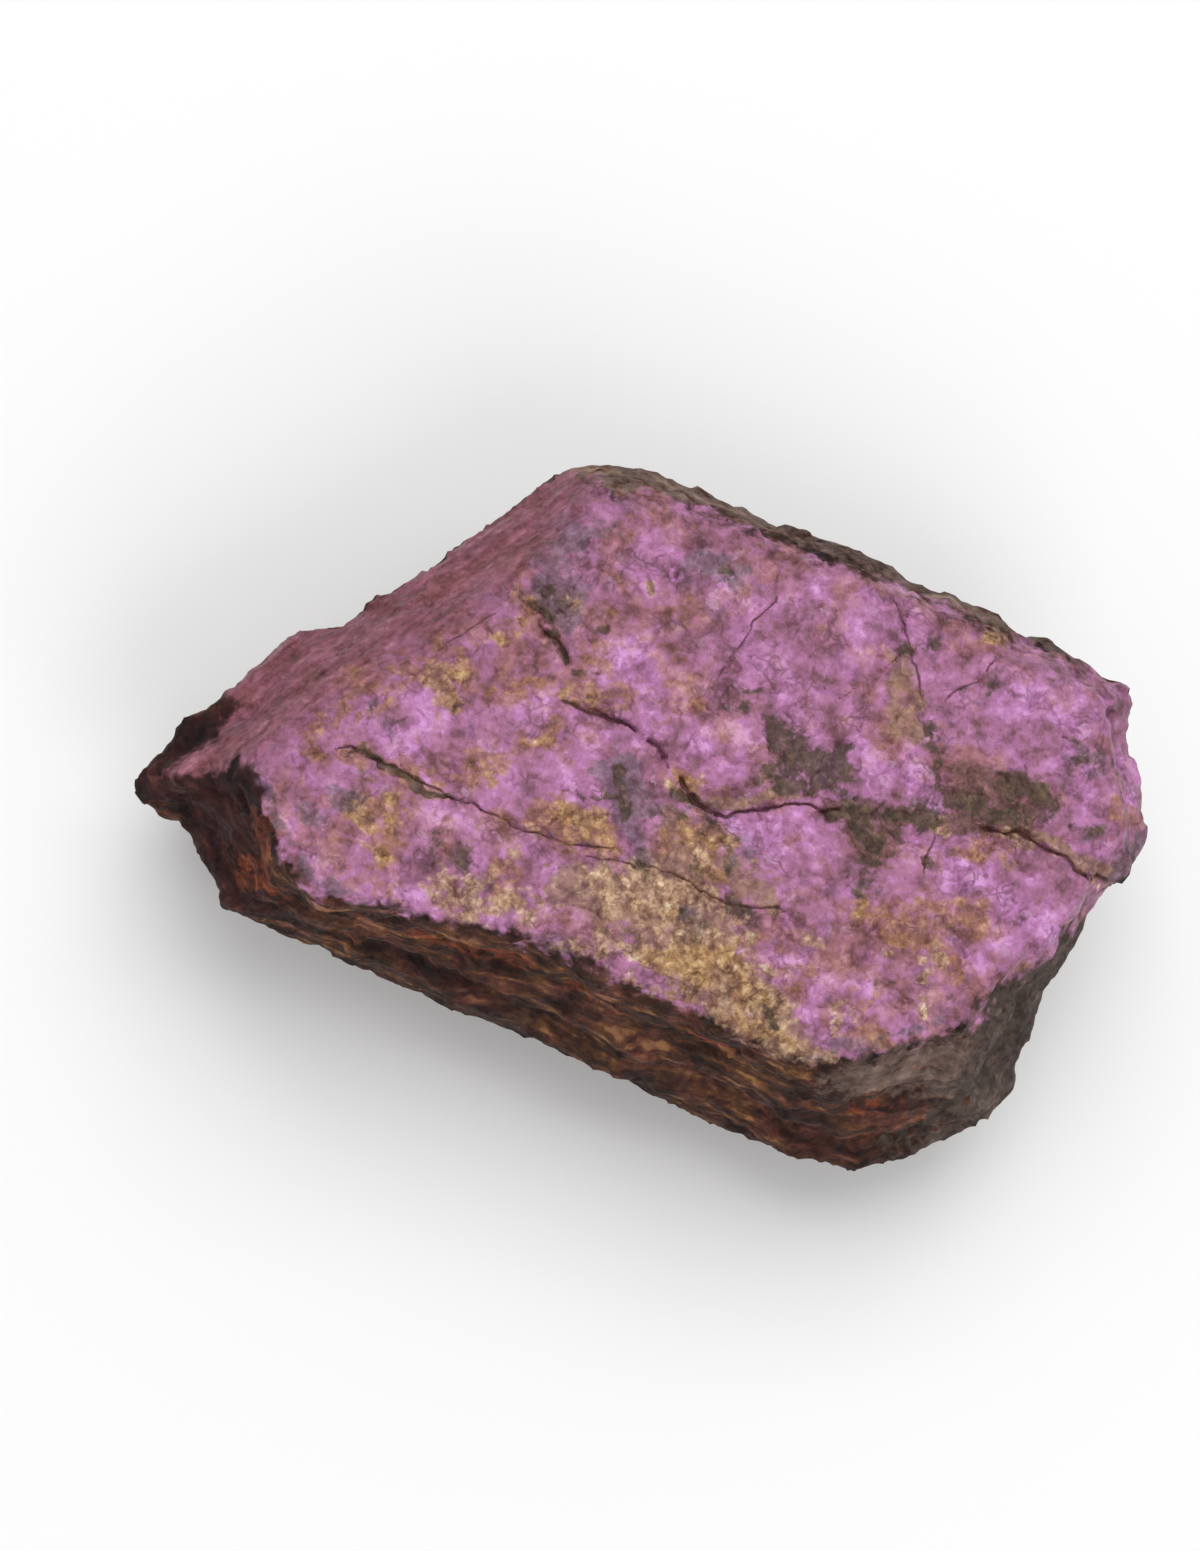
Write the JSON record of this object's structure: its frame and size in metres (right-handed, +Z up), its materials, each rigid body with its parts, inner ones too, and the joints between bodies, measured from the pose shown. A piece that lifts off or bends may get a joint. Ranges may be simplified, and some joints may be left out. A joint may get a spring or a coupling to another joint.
{
  "type": "rough purpurite mineral specimen",
  "caption": "Rough palm-size piece of purpurite: a purple cracked cleavage face over dark layered broken sides, lying on a small flat spot.",
  "frame": {"origin": "on the resting surface, under the middle of the stone's box", "axes": "+X along the length towards the end opposite the pointed tip, +Y towards the back edge, +Z up out of the purple face"},
  "size_m": [0.0496, 0.0298, 0.019],
  "materials": {
    "purpurite": "rough broken mineral: silky purple cleavage face with ochre, tan and dark patches, dull brown-black layered sides"
  },
  "bodies": {
    "root": {"purpurite_stone": "purpurite"}
  },
  "joints": []
}
